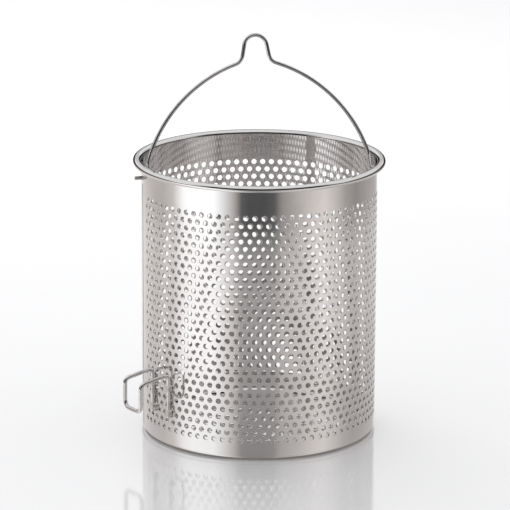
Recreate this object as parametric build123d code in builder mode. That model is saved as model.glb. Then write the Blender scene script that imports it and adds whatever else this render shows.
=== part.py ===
from build123d import *
from math import cos, degrees, radians, sin, sqrt
import os

# Basket strainer: a rolled sheet of perforated stainless steel with a wired rim, a perforated
# base pan, a folding wire bail and a wire hook that hangs the basket on a pot's rim to drain.
#
# Millimetres, +Z up. Z = 0 is the surface that the basket stands on, the Z axis is the basket's
# own axis, and X runs along the bail's pivots. The seam of the rolled sheet faces -X.

# Sheet and perforation
sheet = 0.6
wall_radius = 65.5
hole_radius = 1.5
hole_pitch = 5.0
row_count = 30
lowest_row = 11.4
pitches_around = 78

# Rim: the sheet bends out in a short flange and curls down around a wire
rim_top = 155.2
rim_bend = 2.0
bead_ring_radius = 68.45
bead_radius = 1.55
rim_wire_radius = 0.9
curl_angle = 230.0

# Base pan
corner_radius = 2.4
flange_height = 9.0
pan_clearance = 0.05
wall_bottom = 2.6
base_hole_reach = 58.0

# Bail: one wire, its ends turned out through two holes in the plain band under the rim
bail_wire_radius = 1.1
bail_hole_radius = 1.4
pivot_height = 146.3
bail_lean = 10.0
stub_reach = 69.9
foot_reach = 63.2
foot_bend = 1.9
shoulder_height = 9.0
shoulder_bend = 30.0
arch_radius = 80.3
arch_centre_x = -14.5
arch_centre_y = -15.5
crown_height = 76.2
crown_radius = 6.3
crown_turn = 79.0
crown_foot_bend = 6.0
end_chamfer = 0.3

# Drain hook: one wire, two legs welded to the wall, bent out and down and joined by a bar
hook_wire_radius = 1.15
hook_azimuth = 204.3
hook_half_width = 7.75
hook_leg_bottom = 18.0
hook_leg_top = 43.0
hook_reach = 18.4
hook_arm_fall = 3.0
hook_bar_height = 24.2
hook_wall_gap = 0.1
hook_top_bend = 3.0
hook_bar_bend = 4.0

# Welds
weld_heights = (21.0, 35.0)
weld_length = 4.0
weld_width = 3.4
weld_depth = 1.2
seam_width = 1.4
seam_proud = 0.12
seam_bottom = 4.0
seam_top = 143.0

# Worked out from the sizes above
inner_radius = wall_radius - sheet
row_pitch = hole_pitch * sqrt(3) / 2
pitch_angle = degrees(hole_pitch / (wall_radius - sheet / 2))
pan_radius = inner_radius - pan_clearance
wall_holes = []
for row in range(row_count):
    row_holes = pitches_around + 1 - row % 2
    row_span = (row_holes - 1) * pitch_angle
    row_ring = PolarLocations(wall_radius, row_holes, -row_span / 2, row_span, endpoint=True)
    wall_holes += [Pos(0, 0, lowest_row + row * row_pitch) * spot for spot in row_ring]
base_rows = 2 * int(base_hole_reach / row_pitch) + 1
base_shift = Vector(-hole_pitch / (2 * sqrt(3)), hole_pitch / 4, 0)
base_spots = [spot.position + base_shift for spot in HexLocations(hole_pitch / 2, base_rows, base_rows)]
base_holes = [spot for spot in base_spots if spot.length < base_hole_reach]
lean = radians(bail_lean)
bail_plane = Plane((0, 0, pivot_height), x_dir=(1, 0, 0), z_dir=(0, -cos(lean), sin(lean)))
arch_centre = (arch_centre_x, arch_centre_y)
shoulder_rise = shoulder_height - arch_centre_y
shoulder = (arch_centre_x + sqrt(arch_radius**2 - shoulder_rise**2), shoulder_height)
azimuth = radians(hook_azimuth)
hook_plane = Plane((0, 0, 0), x_dir=(sin(azimuth), -cos(azimuth), 0), z_dir=(0, 0, 1))
leg_ring = wall_radius + hook_wall_gap + hook_wire_radius
leg_y = sqrt(leg_ring**2 - hook_half_width**2)
hook_side = [
    (leg_y, hook_leg_bottom),
    (leg_y, hook_leg_top),
    (leg_y + hook_reach, hook_leg_top - hook_arm_fall),
    (leg_y + hook_reach, hook_bar_height),
]
hook_corners = [(-hook_half_width, y, z) for y, z in hook_side]
hook_corners += [(hook_half_width, y, z) for y, z in reversed(hook_side)]
leg_lines = [hook_plane.from_local_coords((side * hook_half_width, leg_y, 0)) for side in (-1, 1)]
weld_planes = [
    Plane(spot + Vector(0, 0, height), x_dir=hook_plane.x_dir, z_dir=hook_plane.y_dir)
    for spot in leg_lines
    for height in weld_heights
]
hook_bends = [hook_top_bend, hook_top_bend, hook_bar_bend]
hook_bends += reversed(hook_bends)

os.makedirs("parts", exist_ok=True)


def wall_skin(depth):
    """Draw one face of the wall's sheet, depth in from the basket's inner skin."""
    straight = Line((inner_radius + depth, wall_bottom), (inner_radius + depth, rim_top - rim_bend))
    bend_out = JernArc(straight @ 1, straight % 1, rim_bend - depth, -90)
    flange = Line(bend_out @ 1, (bead_ring_radius, rim_top - depth))
    curl = JernArc(flange @ 1, flange % 1, bead_radius - depth, -curl_angle)
    return straight @ 0, curl @ 1


def pan_skin(depth):
    """Draw one face of the base pan's sheet, depth in from its outer skin."""
    floor_line = Line((0, depth), (pan_radius - corner_radius, depth))
    corner = JernArc(floor_line @ 1, floor_line % 1, corner_radius - depth, 90)
    flange = Line(corner @ 1, (pan_radius - depth, wall_bottom + flange_height))
    return floor_line @ 0, flange @ 1


# The wall: the sheet goes up from its bottom edge, bends out at the rim and curls down.
# Rows of holes are staggered, and the last and first hole of a row leave the seam's plain strip.
with BuildPart() as perforated_wall:
    with BuildSketch(Plane.XZ):
        with BuildLine():
            inner_ends = wall_skin(0)
            outer_ends = wall_skin(sheet)
            Line(inner_ends[0], outer_ends[0])
            Line(inner_ends[1], outer_ends[1])
        make_face()
    revolve(axis=Axis.Z)
    with Locations((0, 0, pivot_height)):
        Cylinder(bail_hole_radius, 2.2 * wall_radius, rotation=(0, 90, 0), mode=Mode.SUBTRACT)
    with Locations(wall_holes):
        Cylinder(hole_radius, 4 * sheet, rotation=(0, 90, 0), mode=Mode.SUBTRACT)


# The wire inside the curl
with BuildPart() as rim_wire:
    with BuildSketch(Plane.XZ):
        with Locations((bead_ring_radius, rim_top - bead_radius)):
            Circle(rim_wire_radius)
    revolve(axis=Axis.Z)


# The pan's flange stands inside the wall, and its rounded corner shows below the wall's edge.
# The hole pattern is shifted so that the centre of the base is solid.
with BuildPart() as base_pan:
    with BuildSketch(Plane.XZ):
        with BuildLine():
            outer_ends = pan_skin(0)
            inner_ends = pan_skin(sheet)
            Line(outer_ends[0], inner_ends[0])
            Line(outer_ends[1], inner_ends[1])
        make_face()
    revolve(axis=Axis.Z)
    with Locations(base_holes):
        Cylinder(hole_radius, 4 * sheet, mode=Mode.SUBTRACT)


# The bail: half of the wire's line is drawn in the leaning plane through the pivots, and mirrored
with BuildPart() as bail_handle:
    with BuildLine(bail_plane) as bail_path:
        crown = JernArc((0, crown_height), (1, 0), crown_radius, -crown_turn)
        arch_circle = CenterArc(arch_centre, arch_radius, 0, 90, mode=Mode.PRIVATE)
        crown_leg = IntersectingLine(crown @ 1, crown % 1, arch_circle)
        RadiusArc(crown_leg @ 1, shoulder, arch_radius)
        Polyline(shoulder, (foot_reach, 0), (stub_reach, 0))
        fillet(bail_path.vertices().sort_by(Axis.X)[2], crown_foot_bend)
        fillet(bail_path.vertices().sort_by(Axis.X)[-3], shoulder_bend)
        fillet(bail_path.vertices().sort_by(Axis.X)[-2], foot_bend)
        mirror(about=Plane.YZ)
    bail_wire = bail_path.wires()[0]
    with BuildSketch(Plane(bail_wire @ 0, z_dir=bail_wire % 0)):
        Circle(bail_wire_radius)
    sweep(path=bail_wire)
    chamfer(bail_handle.edges().filter_by(GeomType.CIRCLE).sort_by(Axis.X)[0], end_chamfer)
    chamfer(bail_handle.edges().filter_by(GeomType.CIRCLE).sort_by(Axis.X)[-1], end_chamfer)


# The drain hook, drawn in a plane that stands on the Z axis: x runs along the wall, y away from it
with BuildPart() as drain_hook:
    with BuildLine(hook_plane) as hook_path:
        FilletPolyline(*hook_corners, radius=hook_bends)
    hook_wire = hook_path.wires()[0]
    with BuildSketch(Plane(hook_wire @ 0, z_dir=hook_wire % 0)):
        Circle(hook_wire_radius)
    sweep(path=hook_wire)
    chamfer(drain_hook.edges().filter_by(GeomType.CIRCLE).group_by(Axis.Z)[0], end_chamfer)


# Spot welds: lumps between the hook's legs and the wall, cut back to both faces
with BuildPart() as hook_welds:
    with BuildSketch(*weld_planes):
        Ellipse(weld_width / 2, weld_length / 2)
    extrude(amount=weld_depth, both=True)
    Cylinder(wall_radius, 2 * hook_leg_top, mode=Mode.SUBTRACT)
    with Locations(*leg_lines):
        Cylinder(hook_wire_radius, 2 * hook_leg_top, mode=Mode.SUBTRACT)


# The seam: the flush weld that closes the rolled sheet, a low ridge on the outside
with BuildPart() as seam_weld:
    with BuildSketch(Plane.XY.offset(seam_bottom)):
        Circle(wall_radius + seam_proud)
        Circle(wall_radius, mode=Mode.SUBTRACT)
        with Locations((-wall_radius, 0)):
            Rectangle(4 * sheet, seam_width, mode=Mode.INTERSECT)
    extrude(amount=seam_top - seam_bottom)


perforated_wall.part.label = "perforated_wall"
rim_wire.part.label = "rim_wire"
base_pan.part.label = "base_pan"
bail_handle.part.label = "bail_handle"
drain_hook.part.label = "drain_hook"
hook_welds.part.label = "hook_welds"
seam_weld.part.label = "seam_weld"

export_step(perforated_wall.part, "parts/perforated_wall.step", write_pcurves=False)
export_step(rim_wire.part, "parts/rim_wire.step")
export_step(base_pan.part, "parts/base_pan.step", write_pcurves=False)
export_step(bail_handle.part, "parts/bail_handle.step")
export_step(drain_hook.part, "parts/drain_hook.step")
export_step(hook_welds.part, "parts/hook_welds.step")
export_step(seam_weld.part, "parts/seam_weld.step")
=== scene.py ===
import math

import bmesh
import bpy
import numpy as np
from bpy.props import FloatProperty, FloatVectorProperty, IntProperty, PointerProperty
from bpy.types import Operator, Panel, PropertyGroup
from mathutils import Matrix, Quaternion, Vector


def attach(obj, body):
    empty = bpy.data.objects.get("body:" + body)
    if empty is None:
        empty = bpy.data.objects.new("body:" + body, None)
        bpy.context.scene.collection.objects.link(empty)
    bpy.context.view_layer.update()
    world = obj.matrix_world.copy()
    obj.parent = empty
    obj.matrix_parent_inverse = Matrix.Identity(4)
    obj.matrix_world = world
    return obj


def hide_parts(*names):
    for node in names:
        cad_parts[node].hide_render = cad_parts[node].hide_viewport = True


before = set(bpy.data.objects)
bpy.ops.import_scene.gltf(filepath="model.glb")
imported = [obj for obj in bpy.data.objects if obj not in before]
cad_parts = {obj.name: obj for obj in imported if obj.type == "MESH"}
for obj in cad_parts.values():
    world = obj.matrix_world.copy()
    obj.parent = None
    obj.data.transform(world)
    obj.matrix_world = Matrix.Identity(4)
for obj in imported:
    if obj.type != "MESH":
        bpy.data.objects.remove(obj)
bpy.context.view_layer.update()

bl_info = {
    "name": "Basket Strainer",
    "version": (1, 0, 0),
    "blender": (4, 5, 0),
    "location": "3D View > Sidebar > Strainer",
    "description": "Builds a perforated steel basket strainer with a wire bail and a drain hook",
    "category": "Add Mesh",
}

RING_STEPS = 24          # points around a hole, and around a wire
CELL_COLUMNS = 8         # columns across one hole's cell
CELL_ROWS = 4            # rows up one hole's cell
STRIP_COLUMNS = 24       # columns across the plain strip at the seam
MERGE_DISTANCE = 1e-6
NORMAL_STEPS = 20        # steps of a normal within which points at one place are joined
TUBE_TIP = 1e-5          # radius of the ring that closes a wire's end

# Studio cards that the steel mirrors: degrees from the direction that the basket's front faces, and tone
CARD_TURN = math.radians(258.6)
CARDS = (
    (-180, 1.05), (-168, 0.95), (-154, 0.77), (-126, 0.6), (-107, 0.56), (-92, 0.7), (-79, 1.28),
    (-67, 1.45), (-45, 1.4), (-34, 0.94), (-24, 0.5), (-17, 0.14), (-10, 0.1), (5, 0.1), (15, 0.14),
    (22, 0.36), (35, 0.51), (56, 0.76), (67, 0.84), (80, 0.65), (93, 0.43), (108, 0.34), (127, 0.42),
    (157, 0.53), (168, 0.9), (180, 1.05))
GREY_CARDS = (0.2, 0.9)              # tones that are a little warm
GREY_WARMTH = 0.12
OTHER_WARMTH = -0.01
CEILING = (0.9, 0.9, 0.9, 1)
CEILING_EDGE = (0.3, 0.42)           # heights are the upward part of a direction
DARK_CLOTH = (0.02, 0.02, 0.023, 1)
CLOTH_FOOT = (-0.12, -0.07)
CLOTH_HEAD = (0.21, 0.25)
SCREEN_HEAD = (0.7, 0.8)             # the dark screen in front of the basket reaches higher
SCREEN_MIDDLE = 0.52                 # share of the way round the cards
SCREEN_EDGE = (0.15, 0.22)
ROOM_LIGHT = 0.88

FLOOR_REACH = 4.0
FLOOR_ROUGHNESS = 0.09
FLOOR_SHINE = 0.43
SHINE_FADE = (0.3, 0.6)              # distances from the basket's axis
GLOW_COLOUR = (1, 0.955, 0.94, 1)
GLOW_RISE = (0.07, 0.3)
GLOW_STRENGTH = (0.24, 0.38)
GLOW_FADE = (0.47, 0.57)
GLOW_THROUGH = (0.65, 0.65, 0.65, 1)
# Painted contact shadow: a dark disc of floor under the basket, out to just past its foot, that only the
# steel's reflections see
CONTACT_SHADOW_COLOUR = (0.22, 0.21, 0.2, 1)
CONTACT_SHADOW_FADE = (0.0648, 0.0664)

LAMP_SIZE = 1.0
LAMP_POWER = 5.0
LAMP_PLACE = (-0.2, 0.9, 1.1)
LAMP_AIM = (0, 0, 0.05)

LENS = 245.9
SENSOR = 36
SHIFT = (-0.00725, 0.0773)
CAMERA_AIM = (0, 0, 0.0763)
CAMERA_DISTANCE = 1.948
CAMERA_TURN = math.radians(11.4)
CAMERA_RISE = math.radians(15.815)
CAMERA_ROLL = math.radians(0.257)
CLIP_END = 50


def length_size(name, description, default):
    """A length in metres, as a property."""
    return FloatProperty(name=name, description=description, default=default, unit="LENGTH", precision=5)


def angle_size(name, description, default):
    """An angle given in degrees, as a property."""
    return FloatProperty(name=name, description=description, default=math.radians(default),
                         unit="ROTATION")


def colour(name, description, default):
    """A linear colour, as a property."""
    return FloatVectorProperty(name=name, description=description, default=default, size=4, min=0, max=1,
                               subtype="COLOR")


class StrainerSizes(PropertyGroup):
    """The strainer's sizes, the same as the CAD part's."""

    sheet: length_size("Sheet", "Thickness of the sheet steel", 0.0006)
    edge: length_size("Edge", "Rounding of a cut edge", 0.00012)
    wall_radius: length_size("Wall radius", "Outer radius of the basket's wall", 0.0655)
    wall_bottom: length_size("Wall bottom", "Height of the wall's lower edge", 0.0026)
    hole_radius: length_size("Hole radius", "Radius of a drain hole", 0.0015)
    hole_pitch: length_size("Hole pitch", "Distance between neighbouring holes", 0.005)
    row_count: IntProperty(name="Rows", description="Rows of holes up the wall", default=30)
    lowest_row: length_size("Lowest row", "Height of the lowest row of holes", 0.0114)
    pitches_around: IntProperty(name="Pitches", description="Hole pitches between a row's end holes",
                                default=78)
    pivot_height: length_size("Pivot height", "Height of the bail's pivot holes", 0.1463)
    bail_hole_radius: length_size("Pivot hole", "Radius of the bail's pivot holes", 0.0014)
    rim_top: length_size("Rim top", "Height of the rim's flat top", 0.1552)
    rim_bend: length_size("Rim bend", "Radius that the wall bends outward by at the rim", 0.002)
    bead_ring_radius: length_size("Bead ring", "Radius of the ring of the bead's centre", 0.06845)
    bead_radius: length_size("Bead radius", "Outer radius of the rolled bead", 0.00155)
    curl_angle: angle_size("Curl angle", "Angle that the sheet curls down round the wire", 230)
    pan_clearance: length_size("Pan clearance", "Gap between the pan's flange and the wall", 0.00005)
    corner_radius: length_size("Corner radius", "Outer radius of the pan's corner", 0.0024)
    flange_height: length_size("Flange height", "Height of the pan's flange above the wall's edge", 0.009)
    base_hole_reach: length_size("Base hole reach", "Radius that the base's holes stay within", 0.058)
    bail_wire_radius: length_size("Bail wire", "Radius of the bail's wire", 0.0011)
    bail_lean: angle_size("Bail lean", "Lean of the resting bail from upright", 10)
    stub_reach: length_size("Stub reach", "Distance from the axis to the bail's ends", 0.0699)
    crown_height: length_size("Crown height", "Height of the bail's crown above the pivots", 0.0762)
    crown_radius: length_size("Crown radius", "Bend radius of the crown's loop", 0.0063)
    crown_turn: angle_size("Crown turn", "Turn of each half of the crown's loop", 79)
    crown_leg: length_size("Crown leg", "Straight length of the crown's legs", 0.0061416)
    crown_foot_bend: length_size("Crown foot bend", "Bend radius at the foot of the crown", 0.006)
    crown_foot_turn: angle_size("Crown foot turn", "Turn at the foot of the crown", 60.245)
    arch_radius: length_size("Arch radius", "Bend radius of the bail's long arch", 0.0803)
    arch_turn: angle_size("Arch turn", "Turn of each half of the arch", 50.84)
    shoulder_bend: length_size("Shoulder bend", "Bend radius above the bail's feet", 0.03)
    shoulder_turn: angle_size("Shoulder turn", "Turn above the bail's feet", 12.631)
    foot_line: length_size("Foot line", "Straight length above the bail's feet", 0.0044952)
    foot_bend: length_size("Foot bend", "Bend radius of the bail's feet", 0.0019)
    hook_wire_radius: length_size("Hook wire", "Radius of the drain hook's wire", 0.00115)
    hook_azimuth: angle_size("Hook azimuth", "Direction that the hook faces, from +X", 204.3)
    hook_half_width: length_size("Hook half width", "Half the distance between the hook's legs", 0.00775)
    hook_leg_bottom: length_size("Hook bottom", "Height of the lower end of the hook's legs", 0.018)
    hook_leg_top: length_size("Hook top", "Height of the hook's arms at the wall", 0.043)
    hook_reach: length_size("Hook reach", "How far the hook stands out from its legs", 0.0184)
    hook_arm_fall: length_size("Hook arm fall", "How far the hook's arms fall on their way out", 0.003)
    hook_bar_height: length_size("Hook bar", "Height of the bar that joins the arms", 0.0242)
    hook_wall_gap: length_size("Hook gap", "Gap between the hook's legs and the wall", 0.0001)
    hook_top_bend: length_size("Hook top bend", "Bend radius of the hook's upper corners", 0.003)
    hook_bar_bend: length_size("Hook bar bend", "Bend radius of the bar's corners", 0.004)
    end_chamfer: length_size("End chamfer", "Chamfer on the wires' cut ends", 0.0003)


class StrainerColours(PropertyGroup):
    """Colours of the finishes and the studio."""

    sheet_light: colour("Sheet", "Clean rolled sheet", (0.75, 0.738, 0.735, 1))
    sheet_dark: colour("Sheet haze", "Sheet where it is handled", (0.64, 0.62, 0.61, 1))
    wire_light: colour("Wire", "Drawn wire", (0.76, 0.752, 0.745, 1))
    wire_dark: colour("Wire grooves", "Grooves along the drawn wire", (0.4, 0.395, 0.39, 1))
    weld_light: colour("Weld", "Cleaned weld metal", (0.78, 0.77, 0.76, 1))
    weld_tint: colour("Heat tint", "Straw tint around a weld", (0.72, 0.69, 0.64, 1))
    floor: colour("Floor", "Pale studio floor", (0.925, 0.925, 0.935, 1))


# ---------------------------------------------------------------- shared mesh helpers

def build_mesh(name, points, normals, wear, quads):
    """Makes a smooth mesh from numpy arrays, with its own normals and a wear mask at the cut edges."""
    keys = np.round(points / MERGE_DISTANCE).astype(np.int64)
    keys = np.hstack([keys, np.round(normals * NORMAL_STEPS).astype(np.int64)])
    _, first, index = np.unique(keys, axis=0, return_index=True, return_inverse=True)
    index = index.reshape(-1)
    mesh = bpy.data.meshes.new(name)
    mesh.from_pydata(points[first].tolist(), [], index[quads].tolist())
    mesh.validate()
    mesh.attributes.new("wear", "FLOAT", "POINT").data.foreach_set("value", wear[first].astype(np.float32))
    mesh.polygons.foreach_set("use_smooth", np.ones(len(mesh.polygons), bool))
    mesh.normals_split_custom_set_from_vertices(normals[first].tolist())
    piece = bpy.data.objects.new(name, mesh)
    bpy.context.scene.collection.objects.link(piece)
    return piece


def grid_quads(rows, columns):
    """Quads of a grid of points, rows by columns."""
    corner = np.arange(rows * columns).reshape(rows, columns)
    return np.stack([corner[:-1, :-1], corner[1:, :-1], corner[1:, 1:], corner[:-1, 1:]], -1).reshape(-1, 4)


class SheetMesh:
    """Collects the points and faces of one sheet-metal piece."""

    def __init__(self):
        self.points, self.normals, self.wear, self.quads = [], [], [], []
        self.count = 0

    def add(self, points, normals, wear, quads):
        points = np.asarray(points, float).reshape(-1, 3)
        self.points.append(points)
        self.normals.append(np.broadcast_to(normals, points.shape).reshape(-1, 3))
        self.wear.append(np.broadcast_to(wear, len(points)))
        self.quads.append(np.asarray(quads) + self.count)
        self.count += len(points)

    def finish(self, name):
        return build_mesh(name, np.vstack(self.points), np.vstack(self.normals),
                          np.concatenate(self.wear), np.vstack(self.quads))


def cell_outline():
    """Points around a hole's cell from the middle of its right side, as shares of its half sizes."""
    step = np.arange(RING_STEPS)
    corners = [0, CELL_ROWS / 2, CELL_ROWS / 2 + CELL_COLUMNS, CELL_ROWS * 1.5 + CELL_COLUMNS,
               CELL_ROWS * 1.5 + 2 * CELL_COLUMNS, RING_STEPS]
    across = np.interp(step, corners, [1, 1, -1, -1, 1, 1])
    up = np.interp(step, corners, [0, 1, 1, -1, -1, 0])
    return across, up


def ring_quads(cells, rings):
    """Quads between the rings of each cell."""
    index = np.arange(cells * rings * RING_STEPS).reshape(cells, rings, RING_STEPS)
    onward = np.roll(index, -1, axis=2)
    quads = np.stack([index[:, :-1], onward[:, :-1], onward[:, 1:], index[:, 1:]], -1)
    return quads.reshape(-1, 4)


def add_wall_holes(mesh, sizes, turns, heights, half_turn, half_height, radius):
    """Adds cells with one hole each to the wall: both skins and the hole's rounded edge."""
    across, up = cell_outline()
    spin = np.arange(RING_STEPS) * 2 * math.pi / RING_STEPS
    turns, heights = np.asarray(turns)[:, None], np.asarray(heights)[:, None]
    outer, inner = sizes.wall_radius, sizes.wall_radius - sizes.sheet
    rings = [(None, outer), (radius + sizes.edge, outer), (radius, outer - sizes.edge),
             (radius, inner + sizes.edge), (radius + sizes.edge, inner), (None, inner)]
    points, normals = [], []
    for number, (reach, skin) in enumerate(rings):
        if reach is None:
            angle = turns + across * half_turn
            height = heights + up * half_height
        else:
            angle = turns + np.arcsin(reach * np.cos(spin) / skin)
            height = heights + reach * np.sin(spin)
        points.append(np.stack([skin * np.cos(angle), skin * np.sin(angle), height + 0 * angle], -1))
        if number in (2, 3):
            middle = turns + 0 * angle
            normal = np.stack([np.cos(spin) * np.sin(middle), -np.cos(spin) * np.cos(middle),
                               -np.sin(spin) + 0 * angle], -1)
        else:
            side = 1 if number < 2 else -1
            normal = side * np.stack([np.cos(angle), np.sin(angle), 0 * angle], -1)
        normals.append(normal)
    points, normals = np.stack(points, 1), np.stack(normals, 1)
    wear = np.broadcast_to(np.array([0, 1, 1, 1, 1, 0])[None, :, None], points.shape[:3]).reshape(-1)
    mesh.add(points, normals.reshape(-1, 3), wear, ring_quads(len(turns), len(rings)))


def add_wall_patch(mesh, sizes, turns, heights):
    """Adds a plain patch of the wall, both skins, at the given turns and heights."""
    turn, height = np.meshgrid(turns, heights)
    for skin, side in ((sizes.wall_radius, 1), (sizes.wall_radius - sizes.sheet, -1)):
        points = np.stack([skin * np.cos(turn), skin * np.sin(turn), height], -1)
        normals = side * np.stack([np.cos(turn), np.sin(turn), 0 * turn], -1)
        quads = grid_quads(*turn.shape)
        mesh.add(points, normals.reshape(-1, 3), 0, quads if side < 0 else quads[:, ::-1])


class Trace:
    """Walks along a section, and keeps its points with the normals on the left of the walk."""

    def __init__(self, x, z, heading):
        self.x, self.z, self.heading = x, z, math.radians(heading)
        self.path = [self.here()]

    def here(self):
        return (self.x, self.z, -math.sin(self.heading), math.cos(self.heading))

    def line(self, length, parts=1):
        for _ in range(parts):
            self.x += length / parts * math.cos(self.heading)
            self.z += length / parts * math.sin(self.heading)
            self.path.append(self.here())

    def arc(self, radius, turn, step=math.radians(8)):
        """Turns left for a positive turn and right for a negative one."""
        parts = max(2, math.ceil(abs(turn) / step))
        side = math.copysign(1, turn)
        centre_x = self.x - side * radius * math.sin(self.heading)
        centre_z = self.z + side * radius * math.cos(self.heading)
        for _ in range(parts):
            self.heading += turn / parts
            self.x = centre_x + side * radius * math.sin(self.heading)
            self.z = centre_z - side * radius * math.cos(self.heading)
            self.path.append(self.here())


def add_revolved(mesh, path, turns, wear=0, holes=()):
    """Turns a traced section round the axis. holes are the (first, last) points and turns left open."""
    path = np.asarray(path)
    turns = np.append(turns, turns[0] + 2 * math.pi)
    radius, height, normal_r, normal_z = (path[:, i, None] for i in range(4))
    flat = np.ones(len(turns))
    points = np.stack([radius * np.cos(turns), radius * np.sin(turns), height * flat], -1)
    normals = np.stack([normal_r * np.cos(turns), normal_r * np.sin(turns), normal_z * flat], -1)
    keep = np.ones((len(path) - 1, len(turns) - 1), bool)
    for first, last, left, right in holes:
        keep[first:last, left:right] = False
    quads = grid_quads(len(path), len(turns))[keep.reshape(-1)]
    mesh.add(points, normals.reshape(-1, 3), np.repeat(np.broadcast_to(wear, len(path)), len(turns)), quads)


def add_tube(mesh, points, radius, chamfer):
    """Adds a round wire along the points, with chamfered ends."""
    points = np.asarray(points, float)
    along = np.gradient(points, axis=0)
    along[0], along[-1] = points[1] - points[0], points[-1] - points[-2]
    along /= np.linalg.norm(along, axis=1)[:, None]
    side = np.cross(along[0], (0.3, 0.5, 0.81))
    spin = np.arange(RING_STEPS) * 2 * math.pi / RING_STEPS
    rings, normals, wear = [], [], []

    def ring(centre, tangent, reach, outward, worn):
        across = np.cross(tangent, side)
        spoke = np.outer(np.cos(spin), side) + np.outer(np.sin(spin), across)
        rings.append(centre + reach * spoke)
        normals.append(spoke if outward is None else np.broadcast_to(outward, spoke.shape))
        wear.append(np.full(RING_STEPS, worn))

    last = len(points) - 1
    for number, (point, tangent) in enumerate(zip(points, along)):
        side = side - tangent * side.dot(tangent)
        side /= np.linalg.norm(side)
        if number == 0:
            ring(point, tangent, TUBE_TIP, -tangent, 1.0)
            ring(point, tangent, radius - chamfer, -tangent, 1.0)
            ring(point + tangent * chamfer, tangent, radius, None, 1.0)
        elif number == last:
            ring(point - tangent * chamfer, tangent, radius, None, 1.0)
            ring(point, tangent, radius - chamfer, tangent, 1.0)
            ring(point, tangent, TUBE_TIP, tangent, 1.0)
        else:
            ring(point, tangent, radius, None, 0.0)
    rings, normals = np.stack(rings)[None], np.stack(normals)
    mesh.add(rings, normals.reshape(-1, 3), np.concatenate(wear), ring_quads(1, rings.shape[1]))


# ---------------------------------------------------------------- shared shader groups

GRAIN_ALONG = 3.0        # grain lines per radian round the basket
GRAIN_ACROSS = 2200.0    # grain lines per metre across the sheet
WAVE_SCALE = 22.0        # slow waves in the sheet, per metre
HAZE_SCALE = 30.0
WIRE_PATCHES = 160.0
WIRE_DENTS = 240.0
WELD_CLOUD = 420.0
WELD_RIPPLES = 260.0
SHEET_BUMP = 0.00001     # heights of the bumps, in metres
WIRE_BUMP = 0.00001
WELD_BUMP = 0.000004


def new_group(name, inputs, outputs):
    """A shader node group with its sockets."""
    group = bpy.data.node_groups.new(name, "ShaderNodeTree")
    for label, kind, default in inputs:
        socket = group.interface.new_socket(label, in_out="INPUT", socket_type=kind)
        if default is not None:
            socket.default_value = default
    for label, kind in outputs:
        group.interface.new_socket(label, in_out="OUTPUT", socket_type=kind)
    return group, group.nodes.new("NodeGroupInput"), group.nodes.new("NodeGroupOutput")


def add_node(tree, kind, values=None, **settings):
    """Adds a node. values sets or links its inputs, by name or by number."""
    node = tree.nodes.new(kind)
    for key, value in settings.items():
        setattr(node, key, value)
    for key, value in (values or {}).items():
        if isinstance(value, bpy.types.NodeSocket):
            tree.links.new(value, node.inputs[key])
        else:
            node.inputs[key].default_value = value
    return node


def maths(tree, operation, first, second=0.0, third=0.0, clamp=False):
    """A Math node's result."""
    values = {0: first, 1: second, 2: third}
    return add_node(tree, "ShaderNodeMath", values, operation=operation, use_clamp=clamp).outputs[0]


def mapped(tree, value, low, high, to_low, to_high):
    """A clamped Map Range node's result."""
    values = {"Value": value, "From Min": low, "From Max": high, "To Min": to_low, "To Max": to_high}
    return add_node(tree, "ShaderNodeMapRange", values).outputs["Result"]


def noise(tree, vector, scale, detail=2.0, roughness=0.5):
    """A Noise Texture's factor."""
    values = {"Vector": vector, "Scale": scale, "Detail": detail, "Roughness": roughness}
    return add_node(tree, "ShaderNodeTexNoise", values).outputs["Fac"]


def blend_colours(tree, share, first, second):
    """A colour Mix node's result."""
    node = add_node(tree, "ShaderNodeMix", data_type="RGBA")
    for key, value in ((0, share), (6, first), (7, second)):
        if isinstance(value, bpy.types.NodeSocket):
            tree.links.new(value, node.inputs[key])
        else:
            node.inputs[key].default_value = value
    return node.outputs[2]


def make_rolled_grain():
    """Faint lines that the rolls leave along the sheet, which run round the basket."""
    group, given, made = new_group(
        "Rolled Grain",
        [("Grain Scale", "NodeSocketFloat", 1.0), ("Low Roughness", "NodeSocketFloat", 0.1),
         ("High Roughness", "NodeSocketFloat", 0.2)],
        [("Roughness", "NodeSocketFloat"), ("Height", "NodeSocketFloat")])
    place = add_node(group, "ShaderNodeTexCoord").outputs["Object"]
    parts = add_node(group, "ShaderNodeSeparateXYZ", {0: place}).outputs
    turn = maths(group, "ARCTAN2", parts["Y"], parts["X"])
    reach = maths(group, "SQRT", maths(group, "ADD", maths(group, "MULTIPLY", parts["X"], parts["X"]),
                                       maths(group, "MULTIPLY", parts["Y"], parts["Y"])))
    grain_at = add_node(group, "ShaderNodeCombineXYZ", {
        "X": maths(group, "MULTIPLY", turn, GRAIN_ALONG),
        "Y": maths(group, "MULTIPLY", parts["Z"], GRAIN_ACROSS),
        "Z": maths(group, "MULTIPLY", reach, GRAIN_ACROSS)}).outputs[0]
    lines = noise(group, grain_at, given.outputs["Grain Scale"], 3.0, 0.6)
    waves = noise(group, place, WAVE_SCALE, 2.0)
    both = maths(group, "ADD", maths(group, "MULTIPLY", lines, 0.6), maths(group, "MULTIPLY", waves, 0.4))
    shine = mapped(group, both, 0.35, 0.65, given.outputs["Low Roughness"], given.outputs["High Roughness"])
    group.links.new(shine, made.inputs["Roughness"])
    group.links.new(maths(group, "ADD", maths(group, "MULTIPLY", lines, 0.15), waves), made.inputs["Height"])
    return group


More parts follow.
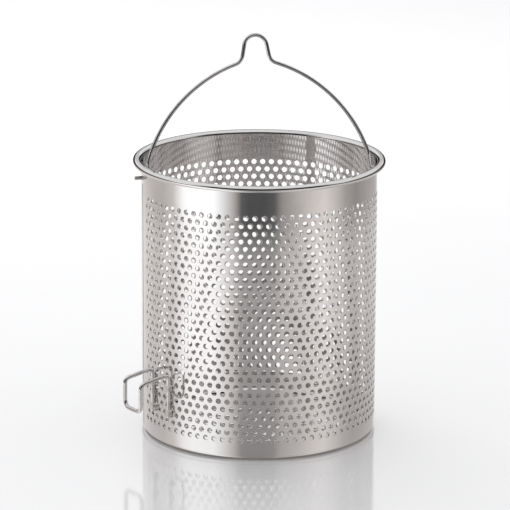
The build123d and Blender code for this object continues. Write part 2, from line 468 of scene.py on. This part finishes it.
def make_drawn_streaks():
    """Duller patches and small dents of drawn wire."""
    group, given, made = new_group(
        "Drawn Streaks", [("Light", "NodeSocketColor", None), ("Dark", "NodeSocketColor", None)],
        [("Color", "NodeSocketColor"), ("Roughness", "NodeSocketFloat"), ("Height", "NodeSocketFloat")])
    place = add_node(group, "ShaderNodeTexCoord").outputs["Object"]
    patches = noise(group, place, WIRE_PATCHES, 2.0, 0.5)
    dents = noise(group, place, WIRE_DENTS, 1.0)
    share = mapped(group, patches, 0.42, 0.68, 0.0, 0.4)
    tone = blend_colours(group, share, given.outputs["Light"], given.outputs["Dark"])
    group.links.new(tone, made.inputs["Color"])
    group.links.new(mapped(group, patches, 0.3, 0.7, 0.18, 0.28), made.inputs["Roughness"])
    group.links.new(maths(group, "ADD", dents, maths(group, "MULTIPLY", patches, 0.7)), made.inputs["Height"])
    return group


def make_handling_haze():
    """Patches where the steel has been handled, and clean metal where its edges have been rubbed."""
    group, given, made = new_group(
        "Handling Haze", [("Clean", "NodeSocketColor", None), ("Hazy", "NodeSocketColor", None)],
        [("Color", "NodeSocketColor")])
    place = add_node(group, "ShaderNodeTexCoord").outputs["Object"]
    cloud = noise(group, place, HAZE_SCALE, 4.0, 0.6)
    rubbed = add_node(group, "ShaderNodeAttribute", attribute_name="wear").outputs["Fac"]
    haze = mapped(group, cloud, 0.45, 0.75, 0.0, 0.8)
    share = maths(group, "MULTIPLY", haze, maths(group, "SUBTRACT", 1.0, rubbed), clamp=True)
    tone = blend_colours(group, share, given.outputs["Clean"], given.outputs["Hazy"])
    group.links.new(tone, made.inputs["Color"])
    return group


def make_heat_tint():
    """Straw-coloured and rippled weld metal."""
    group, given, made = new_group(
        "Heat Tint", [("Metal", "NodeSocketColor", None), ("Tint", "NodeSocketColor", None)],
        [("Color", "NodeSocketColor"), ("Roughness", "NodeSocketFloat"), ("Height", "NodeSocketFloat")])
    place = add_node(group, "ShaderNodeTexCoord").outputs["Object"]
    cloud = noise(group, place, WELD_CLOUD, 3.0)
    ripples = add_node(group, "ShaderNodeTexWave", {"Vector": place, "Scale": WELD_RIPPLES, "Distortion": 2.0,
                                                    "Detail": 1.0}, bands_direction="Z").outputs["Fac"]
    tone = blend_colours(group, mapped(group, cloud, 0.35, 0.65, 0.0, 1.0),
                         given.outputs["Metal"], given.outputs["Tint"])
    group.links.new(tone, made.inputs["Color"])
    group.links.new(mapped(group, cloud, 0.3, 0.7, 0.3, 0.45), made.inputs["Roughness"])
    group.links.new(maths(group, "ADD", ripples, cloud), made.inputs["Height"])
    return group


def shared_group(name):
    """The shared shader group of that name, made the first time it is asked for."""
    makers = {"Rolled Grain": make_rolled_grain, "Drawn Streaks": make_drawn_streaks,
              "Handling Haze": make_handling_haze, "Heat Tint": make_heat_tint}
    return bpy.data.node_groups.get(name) or makers[name]()


def metal(name):
    """A material with a metallic shader: its node tree and its shader."""
    material = bpy.data.materials.new(name)
    material.use_nodes = True
    tree = material.node_tree
    shader = tree.nodes["Principled BSDF"]
    shader.inputs["Metallic"].default_value = 1.0
    return material, tree, shader


def use_group(tree, name, values):
    """Adds a shared group to a material and gives it its inputs."""
    node = tree.nodes.new("ShaderNodeGroup")
    node.node_tree = shared_group(name)
    for key, value in values.items():
        node.inputs[key].default_value = value
    return node.outputs


def bump(tree, shader, height, distance):
    """Feeds a height to the shader's normal."""
    node = add_node(tree, "ShaderNodeBump", {"Height": height, "Distance": distance, "Strength": 1.0})
    tree.links.new(node.outputs["Normal"], shader.inputs["Normal"])


def rolled_steel(name, low, high):
    """Bright rolled stainless sheet."""
    colours = bpy.context.scene.strainer_colours
    material, tree, shader = metal(name)
    haze = use_group(tree, "Handling Haze", {"Clean": colours.sheet_light, "Hazy": colours.sheet_dark})
    grain = use_group(tree, "Rolled Grain",
                      {"Grain Scale": 1.0, "Low Roughness": low, "High Roughness": high})
    tree.links.new(haze["Color"], shader.inputs["Base Color"])
    tree.links.new(grain["Roughness"], shader.inputs["Roughness"])
    bump(tree, shader, grain["Height"], SHEET_BUMP)
    return material


def drawn_wire(name):
    """Bright drawn stainless wire."""
    colours = bpy.context.scene.strainer_colours
    material, tree, shader = metal(name)
    streaks = use_group(tree, "Drawn Streaks", {"Light": colours.wire_light, "Dark": colours.wire_dark})
    tree.links.new(streaks["Color"], shader.inputs["Base Color"])
    tree.links.new(streaks["Roughness"], shader.inputs["Roughness"])
    bump(tree, shader, streaks["Height"], WIRE_BUMP)
    return material


def weld_metal(name):
    """Cleaned weld metal with some heat tint left."""
    colours = bpy.context.scene.strainer_colours
    material, tree, shader = metal(name)
    tint = use_group(tree, "Heat Tint", {"Metal": colours.weld_light, "Tint": colours.weld_tint})
    tree.links.new(tint["Color"], shader.inputs["Base Color"])
    tree.links.new(tint["Roughness"], shader.inputs["Roughness"])
    bump(tree, shader, tint["Height"], WELD_BUMP)
    return material


def shared_material(name, maker, *values):
    """The material of that name, made the first time it is asked for."""
    return bpy.data.materials.get(name) or maker(name, *values)


def sheet_finish():
    """The finish of the wall and of the base."""
    return shared_material("rolled sheet", rolled_steel, 0.025, 0.09)


# ---------------------------------------------------------------- the wall

def pitch_turn(sizes):
    """The angle between neighbouring holes of a row."""
    return sizes.hole_pitch / (sizes.wall_radius - sizes.sheet / 2)


def row_rise(sizes):
    """The height between neighbouring rows."""
    return sizes.hole_pitch * math.sqrt(3) / 2


def wall_turns(sizes):
    """Angles of the wall's columns: fine steps over the pattern, then over the plain strip."""
    pitch = pitch_turn(sizes)
    half_count = (sizes.pitches_around + 1) * CELL_COLUMNS // 2
    pattern = np.arange(-half_count, half_count + 1) * pitch / CELL_COLUMNS
    strip = np.linspace(pattern[-1], 2 * math.pi + pattern[0], STRIP_COLUMNS + 1)
    return pattern, strip


def build_wall_rows(sizes, name, first, last):
    """One band of the perforated wall, from row first up to row last."""
    pitch, rise = pitch_turn(sizes), row_rise(sizes)
    pattern, strip = wall_turns(sizes)
    mesh = SheetMesh()
    for row in range(first, last):
        count = sizes.pitches_around + 1 - row % 2
        turns = (np.arange(count) - (count - 1) / 2) * pitch
        height = sizes.lowest_row + row * rise
        add_wall_holes(mesh, sizes, turns, np.full(count, height), pitch / 2, rise / 2,
                       sizes.hole_radius)
        levels = height + np.linspace(-rise / 2, rise / 2, CELL_ROWS + 1)
        add_wall_patch(mesh, sizes, strip, levels)
        if row % 2:
            half_cell = CELL_COLUMNS // 2 + 1
            add_wall_patch(mesh, sizes, pattern[:half_cell], levels)
            add_wall_patch(mesh, sizes, pattern[-half_cell:], levels)
    return mesh.finish(name)


def build_wall_rim(sizes, name):
    """The plain band with the bail's holes, the flange and the bead that curls down round the rim wire."""
    pitch, rise = pitch_turn(sizes), row_rise(sizes)
    pattern, strip = wall_turns(sizes)
    turns = np.append(pattern, strip[1:-1])
    inner = sizes.wall_radius - sizes.sheet
    pattern_top = sizes.lowest_row + (sizes.row_count - 0.5) * rise
    half_height = sizes.hole_pitch / 2
    hole_bottom = sizes.pivot_height - half_height
    hole_top = hole_bottom + 2 * half_height
    above_hole = sizes.rim_top - sizes.rim_bend - hole_top
    flange = sizes.bead_ring_radius - inner - sizes.rim_bend
    curl = sizes.curl_angle - sizes.edge / sizes.bead_radius
    quarter = math.pi / 2
    trace = Trace(inner, pattern_top, 90)
    trace.line(hole_bottom - pattern_top)
    up_hole = len(trace.path) - 1
    trace.line(2 * half_height, CELL_ROWS)
    trace.line(above_hole)
    trace.arc(sizes.rim_bend, -quarter)
    trace.line(flange, 2)
    trace.arc(sizes.bead_radius, -curl)
    edge_start = len(trace.path) - 1
    trace.arc(sizes.edge, -quarter)
    trace.line(sizes.sheet - 2 * sizes.edge)
    trace.arc(sizes.edge, -quarter)
    edge_end = len(trace.path)
    trace.arc(sizes.bead_radius - sizes.sheet, curl)
    trace.line(flange, 2)
    trace.arc(sizes.rim_bend - sizes.sheet, quarter)
    trace.line(above_hole)
    down_hole = len(trace.path) - 1
    trace.line(2 * half_height, CELL_ROWS)
    trace.line(hole_bottom - pattern_top)
    front = (len(pattern) - 1) // 2
    back = len(pattern) - 1 + STRIP_COLUMNS // 2
    half_cell = CELL_COLUMNS // 2
    holes = [(start, start + CELL_ROWS, middle - half_cell, middle + half_cell)
             for start in (up_hole, down_hole) for middle in (front, back)]
    wear = np.zeros(len(trace.path))
    wear[edge_start:edge_end] = 1
    mesh = SheetMesh()
    add_revolved(mesh, trace.path, turns, wear, holes)
    strip_step = strip[1] - strip[0]
    for turn, half_turn in ((0.0, pitch / 2), (math.pi, half_cell * strip_step)):
        add_wall_holes(mesh, sizes, [turn], [sizes.pivot_height], half_turn, half_height,
                       sizes.bail_hole_radius)
    return mesh.finish(name)


def build_wall_foot(sizes, name):
    """The plain band under the holes, down to the wall's lower edge."""
    pattern, strip = wall_turns(sizes)
    turns = np.append(pattern, strip[1:-1])
    drop = sizes.lowest_row - row_rise(sizes) / 2 - sizes.wall_bottom - sizes.edge
    trace = Trace(sizes.wall_radius, sizes.lowest_row - row_rise(sizes) / 2, -90)
    trace.line(drop)
    trace.arc(sizes.edge, -math.pi / 2)
    trace.line(sizes.sheet - 2 * sizes.edge)
    trace.arc(sizes.edge, -math.pi / 2)
    trace.line(drop)
    wear = np.ones(len(trace.path))
    wear[[0, -1]] = 0
    mesh = SheetMesh()
    add_revolved(mesh, trace.path, turns, wear)
    return mesh.finish(name)


class STRAINER_OT_wall(Operator):
    """Build the perforated wall in bands, with its rim and its foot"""

    bl_idname = "strainer.wall"
    bl_label = "Wall"

    def execute(self, context):
        sizes = context.scene.strainer_sizes
        third = sizes.row_count // 3
        pieces = [build_wall_rim(sizes, "wall_rim"), build_wall_foot(sizes, "wall_foot")]
        bands = (("wall_lower_rows", 0, third), ("wall_middle_rows", third, 2 * third),
                 ("wall_upper_rows", 2 * third, sizes.row_count))
        pieces += [build_wall_rows(sizes, *band) for band in bands]
        for piece in pieces:
            place_piece(piece, "basket", "wall_sheet", sheet_finish(), "perforated_wall")
        return {"FINISHED"}


def place_piece(piece, body, slot, material, *nodes):
    """Gives a piece its finish and its body, and hides the CAD nodes that it stands for. slot is not used."""
    piece.data.materials.append(material)
    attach(piece, body)
    if nodes:
        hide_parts(*nodes)


# ---------------------------------------------------------------- the base pan

def base_hole_places(sizes):
    """Centres of the base's holes."""
    pitch, rise = sizes.hole_pitch, row_rise(sizes)
    reach = int(sizes.base_hole_reach / rise) + 1
    first = Vector((pitch / math.sqrt(3), 0))
    places = []
    for column in range(-reach, reach + 1):
        for step in range(-reach, reach + 1):
            spot = first + Vector((column * rise, (step + column % 2 / 2) * pitch))
            if spot.length < sizes.base_hole_reach:
                places.append(spot)
    return places


def build_base_pan(sizes, name):
    """The perforated base with its rounded corner and the flange inside the wall."""
    pattern, strip = wall_turns(sizes)
    turns = np.append(pattern, strip[1:-1])
    outer = sizes.wall_radius - sizes.sheet - sizes.pan_clearance
    inner_corner = sizes.corner_radius - sizes.sheet
    flange = sizes.wall_bottom + sizes.flange_height - sizes.corner_radius
    flat = outer - sizes.corner_radius
    mesh = SheetMesh()
    across, up = cell_outline()
    spin = np.arange(RING_STEPS) * 2 * math.pi / RING_STEPS
    places = np.array(base_hole_places(sizes))[:, :, None]
    lift = sizes.sheet
    rings = [(None, lift), (sizes.hole_radius + sizes.edge, lift), (sizes.hole_radius, lift - sizes.edge),
             (sizes.hole_radius, sizes.edge), (sizes.hole_radius + sizes.edge, 0), (None, 0)]
    points, normals = [], []
    for number, (reach, height) in enumerate(rings):
        if reach is None:
            x = places[:, 0] - up * row_rise(sizes) / 2
            y = places[:, 1] + across * sizes.hole_pitch / 2
        else:
            x = places[:, 0] - reach * np.sin(spin)
            y = places[:, 1] + reach * np.cos(spin)
        points.append(np.stack([x, y, np.full(x.shape, height)], -1))
        if number in (2, 3):
            normals.append(np.stack([np.sin(spin) + 0 * x, -np.cos(spin) + 0 * x, 0 * x], -1))
        else:
            normals.append(np.stack([0 * x, 0 * x, 0 * x + (1 if number < 2 else -1)], -1))
    points, normals = np.stack(points, 1), np.stack(normals, 1)
    wear = np.broadcast_to(np.array([0, 1, 1, 1, 1, 0])[None, :, None], points.shape[:3]).reshape(-1)
    mesh.add(points, normals.reshape(-1, 3), wear, ring_quads(len(places), len(rings)))
    add_base_margin(mesh, points[:, 0], turns, flat, sizes)
    trace = Trace(flat, sizes.sheet, 0)
    trace.arc(inner_corner, math.pi / 2)
    trace.line(flange - sizes.edge)
    trace.arc(sizes.edge, -math.pi / 2)
    trace.line(sizes.sheet - 2 * sizes.edge)
    trace.arc(sizes.edge, -math.pi / 2)
    trace.line(flange - sizes.edge)
    trace.arc(sizes.corner_radius, -math.pi / 2)
    add_revolved(mesh, trace.path, turns)
    return mesh.finish(name)


def add_base_margin(mesh, outlines, turns, radius, sizes):
    """Fills both faces of the base between the outermost cells and the start of its corner."""
    keys = {}
    spots = []

    def vertex(point):
        key = (round(point[0] / MERGE_DISTANCE), round(point[1] / MERGE_DISTANCE))
        if key not in keys:
            keys[key] = len(spots)
            spots.append((point[0], point[1]))
        return keys[key]

    edges = {}
    for outline in outlines:
        loop = [vertex(point) for point in outline]
        for here, there in zip(loop, loop[1:] + loop[:1]):
            edge = (min(here, there), max(here, there))
            edges[edge] = edges.get(edge, 0) + 1
    rim = [vertex((radius * math.cos(turn), radius * math.sin(turn))) for turn in turns]
    border = [edge for edge, uses in edges.items() if uses == 1] + list(zip(rim, rim[1:] + rim[:1]))
    flat = bmesh.new()
    vertices = [flat.verts.new((x, y, 0)) for x, y in spots]
    lines = [flat.edges.new((vertices[a], vertices[b])) for a, b in border]
    bmesh.ops.triangle_fill(flat, use_beauty=True, use_dissolve=False, edges=lines, normal=(0, 0, 1))
    flat.verts.index_update()
    triangles = []
    for face in flat.faces:
        corners = [vert.index for vert in face.verts]
        triangles.append(corners if face.normal.z > 0 else corners[::-1])
    flat.free()
    triangles = np.array(triangles)
    plan = np.array(spots)
    for height, side in ((sizes.sheet, 1), (0.0, -1)):
        points = np.column_stack([plan, np.full(len(plan), height)])
        faces = triangles if side > 0 else triangles[:, ::-1]
        mesh.add(points, (0, 0, side), 0, np.column_stack([faces, faces[:, 0]]))


class STRAINER_OT_base(Operator):
    """Build the perforated base pan"""

    bl_idname = "strainer.base"
    bl_label = "Base pan"

    def execute(self, context):
        piece = build_base_pan(context.scene.strainer_sizes, "base_pan_sheet")
        place_piece(piece, "basket", "base_sheet", sheet_finish(), "base_pan")
        return {"FINISHED"}


# ---------------------------------------------------------------- the wires

def bail_line(sizes):
    """Points along the bail's wire, from its end at -X to its end at +X."""
    step = math.radians(5)
    trace = Trace(0, sizes.crown_height, 0)
    trace.arc(sizes.crown_radius, -sizes.crown_turn, step)
    trace.line(sizes.crown_leg, 3)
    trace.arc(sizes.crown_foot_bend, sizes.crown_foot_turn, step)
    trace.arc(sizes.arch_radius, -sizes.arch_turn, math.radians(1.2))
    trace.arc(sizes.shoulder_bend, -sizes.shoulder_turn, math.radians(2))
    trace.line(sizes.foot_line, 3)
    trace.arc(sizes.foot_bend, -trace.heading, math.radians(10))
    trace.line(sizes.stub_reach - trace.x, 5)
    half = [(x, z) for x, z, _, _ in trace.path]
    whole = [(-x, z) for x, z in half[:0:-1]] + half
    side, rise = math.sin(sizes.bail_lean), math.cos(sizes.bail_lean)
    return [(x, z * side, sizes.pivot_height + z * rise) for x, z in whole]


def rounded_line(corners, bends, step=math.radians(8)):
    """Points along a line through the corners, with each corner bent to its radius."""
    points = [corners[0]]
    for before, corner, after, bend in zip(corners, corners[1:], corners[2:], bends):
        come, go = (corner - before).normalized(), (after - corner).normalized()
        turn = come.angle(go)
        inward = (go - come).normalized()
        centre = corner + inward * bend / math.cos(turn / 2)
        axis = come.cross(go).normalized()
        start = corner - come * bend * math.tan(turn / 2)
        parts = math.ceil(turn / step)
        far = (start - points[-1]).length
        points += [points[-1].lerp(start, share) for share in (0.25, 0.5, 0.75) if far > bend]
        for part in range(parts + 1):
            points.append(centre + Quaternion(axis, turn * part / parts) @ (start - centre))
    last = points[-1]
    points += [last.lerp(corners[-1], share) for share in (0.2, 0.4, 0.6, 0.8, 1)]
    return points


def hook_line(sizes):
    """Points along the drain hook's wire, from the foot of one leg to the foot of the other."""
    azimuth = sizes.hook_azimuth
    out = Vector((math.cos(azimuth), math.sin(azimuth), 0))
    along = Vector((math.sin(azimuth), -math.cos(azimuth), 0))
    leg_ring = sizes.wall_radius + sizes.hook_wall_gap + sizes.hook_wire_radius
    leg = math.sqrt(leg_ring ** 2 - sizes.hook_half_width ** 2)
    side = [(leg, sizes.hook_leg_bottom), (leg, sizes.hook_leg_top),
            (leg + sizes.hook_reach, sizes.hook_leg_top - sizes.hook_arm_fall),
            (leg + sizes.hook_reach, sizes.hook_bar_height)]
    corners = [out * reach - along * sizes.hook_half_width + Vector((0, 0, z)) for reach, z in side]
    corners += [out * reach + along * sizes.hook_half_width + Vector((0, 0, z)) for reach, z in side[::-1]]
    bends = [sizes.hook_top_bend, sizes.hook_top_bend, sizes.hook_bar_bend]
    return rounded_line(corners, bends + bends[::-1])


class STRAINER_OT_bail(Operator):
    """Build the folding wire bail"""

    bl_idname = "strainer.bail"
    bl_label = "Bail"

    def execute(self, context):
        sizes = context.scene.strainer_sizes
        mesh = SheetMesh()
        add_tube(mesh, bail_line(sizes), sizes.bail_wire_radius, sizes.end_chamfer)
        piece = mesh.finish("bail_wire")
        place_piece(piece, "bail", "bail_wire", shared_material("bail wire", drawn_wire), "bail_handle")
        return {"FINISHED"}


class STRAINER_OT_hook(Operator):
    """Build the drain hook, and finish its welds, the seam and the wire in the rim"""

    bl_idname = "strainer.hook"
    bl_label = "Hook and welds"

    def execute(self, context):
        sizes = context.scene.strainer_sizes
        mesh = SheetMesh()
        add_tube(mesh, hook_line(sizes), sizes.hook_wire_radius, sizes.end_chamfer)
        piece = mesh.finish("drain_hook_wire")
        wire = shared_material("hook wire", drawn_wire)
        place_piece(piece, "basket", "wire", wire, "drain_hook")
        welds = shared_material("weld metal", weld_metal)
        for node, slot, material in (("hook_welds", "weld", welds), ("seam_weld", "weld", welds),
                                     ("rim_wire", "wire", wire)):
            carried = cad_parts[node]
            carried.data.materials.clear()
            carried.data.materials.append(material)
        return {"FINISHED"}


# ---------------------------------------------------------------- the studio

def card_colour(tone):
    """A card's colour: the grey cards are a little warm, and the dark and the white ones are not."""
    warmth = GREY_WARMTH if GREY_CARDS[0] < tone < GREY_CARDS[1] else OTHER_WARMTH
    return (tone * (1 + warmth / 2), tone, tone * (1 - warmth / 4), 1)


def studio_world(scene):
    """A white room for the floor, and the cards and dark cloth that the steel mirrors."""
    world = bpy.data.worlds.new("studio")
    scene.world = world
    world.use_nodes = True
    tree = world.node_tree
    tree.nodes.clear()
    parts = add_node(tree, "ShaderNodeSeparateXYZ",
                     {0: add_node(tree, "ShaderNodeTexCoord").outputs["Generated"]}).outputs
    turn = maths(tree, "SUBTRACT", maths(tree, "ARCTAN2", parts["Y"], parts["X"]), CARD_TURN)
    share = maths(tree, "FRACT", maths(tree, "ADD", maths(tree, "DIVIDE", turn, 2 * math.pi), 1.5))
    ramp = add_node(tree, "ShaderNodeValToRGB", {0: share})
    stops = ramp.color_ramp.elements
    stops[0].color = stops[1].color = card_colour(CARDS[0][1])
    for place, tone in CARDS[1:-1]:
        stops.new(place / 360 + 0.5).color = card_colour(tone)
    above = mapped(tree, parts["Z"], *CEILING_EDGE, 0.0, 1.0)
    cards = blend_colours(tree, above, ramp.outputs["Color"], CEILING)
    facing = maths(tree, "ABSOLUTE", maths(tree, "SUBTRACT", share, SCREEN_MIDDLE))
    ahead = mapped(tree, facing, *SCREEN_EDGE, 1.0, 0.0)
    path = add_node(tree, "ShaderNodeLightPath").outputs
    first_bounce = maths(tree, "LESS_THAN", path["Glossy Depth"], 1.5)
    raised = mapped(tree, parts["Z"], *CLOTH_FOOT, 0.0, 1.0)
    cloth = mapped(tree, parts["Z"], *CLOTH_HEAD, 1.0, 0.0)
    screen = maths(tree, "MULTIPLY", mapped(tree, parts["Z"], *SCREEN_HEAD, 1.0, 0.0), ahead)
    dark = maths(tree, "MULTIPLY", maths(tree, "MAXIMUM", cloth, screen), raised)
    dark = maths(tree, "MULTIPLY", dark, first_bounce)
    cards = blend_colours(tree, dark, cards, DARK_CLOTH)
    mirrored = add_node(tree, "ShaderNodeBackground", {"Color": cards, "Strength": 1.0})
    room = add_node(tree, "ShaderNodeBackground", {"Color": (1, 1, 1, 1), "Strength": ROOM_LIGHT})
    mix = add_node(tree, "ShaderNodeMixShader",
                   {0: path["Is Glossy Ray"], 1: room.outputs[0], 2: mirrored.outputs[0]})
    add_node(tree, "ShaderNodeOutputWorld", {"Surface": mix.outputs[0]})


class STRAINER_OT_stage(Operator):
    """Set up the floor, the lights and the camera"""

    bl_idname = "strainer.stage"
    bl_label = "Stage"

    def execute(self, context):
        scene = context.scene
        scene.view_settings.view_transform = "Standard"
        studio_world(scene)
        floor = make_floor()
        lamp = make_lamp()
        place_camera(scene)
        return {"FINISHED"}


def make_floor():
    """A large pale floor with a faint gloss near the basket."""
    mesh = bpy.data.meshes.new("floor")
    corners = [(-1, -1), (1, -1), (1, 1), (-1, 1)]
    mesh.from_pydata([(x * FLOOR_REACH, y * FLOOR_REACH, 0) for x, y in corners], [], [(0, 1, 2, 3)])
    mesh.materials.append(floor_finish())
    floor = bpy.data.objects.new("floor", mesh)
    bpy.context.scene.collection.objects.link(floor)
    return floor


def floor_finish():
    """A pale gloss, and what the steel sees of the floor: a soft painted glow near it, a painted contact
    shadow on a dark disc under the basket to just past its foot, and the cards further off.
    """
    material = bpy.data.materials.new("floor")
    material.use_nodes = True
    tree = material.node_tree
    shader = tree.nodes["Principled BSDF"]
    shader.inputs["Base Color"].default_value = bpy.context.scene.strainer_colours.floor
    shader.inputs["Roughness"].default_value = FLOOR_ROUGHNESS
    shader.inputs["Specular IOR Level"].default_value = 0.0
    place = add_node(tree, "ShaderNodeTexCoord").outputs["Object"]
    reach = add_node(tree, "ShaderNodeVectorMath", {0: place}, operation="LENGTH").outputs["Value"]
    tree.links.new(mapped(tree, reach, *SHINE_FADE, FLOOR_SHINE, 0.0), shader.inputs["Metallic"])
    near = mapped(tree, reach, *GLOW_FADE, 1.0, 0.0)
    lift = mapped(tree, reach, *GLOW_RISE, *GLOW_STRENGTH)
    glow = add_node(tree, "ShaderNodeEmission", {"Color": GLOW_COLOUR, "Strength": lift})
    clear = add_node(tree, "ShaderNodeBsdfTransparent", {"Color": (1, 1, 1, 1)})
    dim = add_node(tree, "ShaderNodeBsdfTransparent", {"Color": GLOW_THROUGH})
    close = add_node(tree, "ShaderNodeAddShader", {0: glow.outputs[0], 1: dim.outputs[0]})
    seen = add_node(tree, "ShaderNodeMixShader", {0: near, 1: clear.outputs[0], 2: close.outputs[0]})
    # Painted contact shadow: glossy rays that reach the floor under the basket's foot see a dark emission
    # instead of the glow
    contact_shadow = add_node(tree, "ShaderNodeEmission", {"Color": CONTACT_SHADOW_COLOUR, "Strength": 1.0})
    under = mapped(tree, reach, *CONTACT_SHADOW_FADE, 1.0, 0.0)
    seen = add_node(tree, "ShaderNodeMixShader", {0: under, 1: seen.outputs[0], 2: contact_shadow.outputs[0]})
    path = add_node(tree, "ShaderNodeLightPath")
    mix = add_node(tree, "ShaderNodeMixShader",
                   {0: path.outputs["Is Glossy Ray"], 1: shader.outputs[0], 2: seen.outputs[0]})
    tree.links.new(mix.outputs[0], tree.nodes["Material Output"].inputs["Surface"])
    material.cycles.emission_sampling = "NONE"
    return material


def make_lamp():
    """A soft overhead lamp for the shadow on the floor."""
    data = bpy.data.lights.new("softbox", "AREA")
    data.shape = "DISK"
    data.size = LAMP_SIZE
    data.energy = LAMP_POWER
    lamp = bpy.data.objects.new("softbox", data)
    lamp.location = LAMP_PLACE
    lamp.rotation_mode = "QUATERNION"
    lamp.rotation_quaternion = (Vector(LAMP_AIM) - lamp.location).to_track_quat("-Z", "Y")
    lamp.visible_glossy = False
    bpy.context.scene.collection.objects.link(lamp)
    return lamp


def place_camera(scene):
    """A long lens a little above the rim."""
    data = bpy.data.cameras.new("camera")
    data.sensor_width = SENSOR
    data.lens = LENS
    data.shift_x, data.shift_y = SHIFT
    data.clip_end = CLIP_END
    camera = bpy.data.objects.new("camera", data)
    scene.collection.objects.link(camera)
    level = math.cos(CAMERA_RISE)
    back = Vector((-math.sin(CAMERA_TURN) * level, -math.cos(CAMERA_TURN) * level, math.sin(CAMERA_RISE)))
    camera.location = Vector(CAMERA_AIM) + back * CAMERA_DISTANCE
    camera.rotation_mode = "QUATERNION"
    camera.rotation_quaternion = (-back).to_track_quat("-Z", "Y") @ Quaternion((0, 0, 1), CAMERA_ROLL)
    scene.camera = camera


class STRAINER_PT_panel(Panel):
    """Buttons that build the strainer"""

    bl_idname = "STRAINER_PT_panel"
    bl_label = "Basket Strainer"
    bl_space_type = "VIEW_3D"
    bl_region_type = "UI"
    bl_category = "Strainer"

    def draw(self, context):
        for step in BUILD_STEPS:
            self.layout.operator(step.bl_idname)
        for group in (context.scene.strainer_sizes, context.scene.strainer_colours):
            for name in group.__annotations__:
                self.layout.prop(group, name)


BUILD_STEPS = (STRAINER_OT_wall, STRAINER_OT_base, STRAINER_OT_bail, STRAINER_OT_hook, STRAINER_OT_stage)
CLASSES = (StrainerSizes, StrainerColours) + BUILD_STEPS + (STRAINER_PT_panel,)


def register():
    for kind in CLASSES:
        bpy.utils.register_class(kind)
    bpy.types.Scene.strainer_sizes = PointerProperty(type=StrainerSizes)
    bpy.types.Scene.strainer_colours = PointerProperty(type=StrainerColours)


def unregister():
    del bpy.types.Scene.strainer_colours
    del bpy.types.Scene.strainer_sizes
    for kind in reversed(CLASSES):
        bpy.utils.unregister_class(kind)


def main():
    register()
    bpy.ops.strainer.wall()
    bpy.ops.strainer.base()
    bpy.ops.strainer.bail()
    bpy.ops.strainer.hook()
    bpy.ops.strainer.stage()


if __name__ == "__main__":
    main()
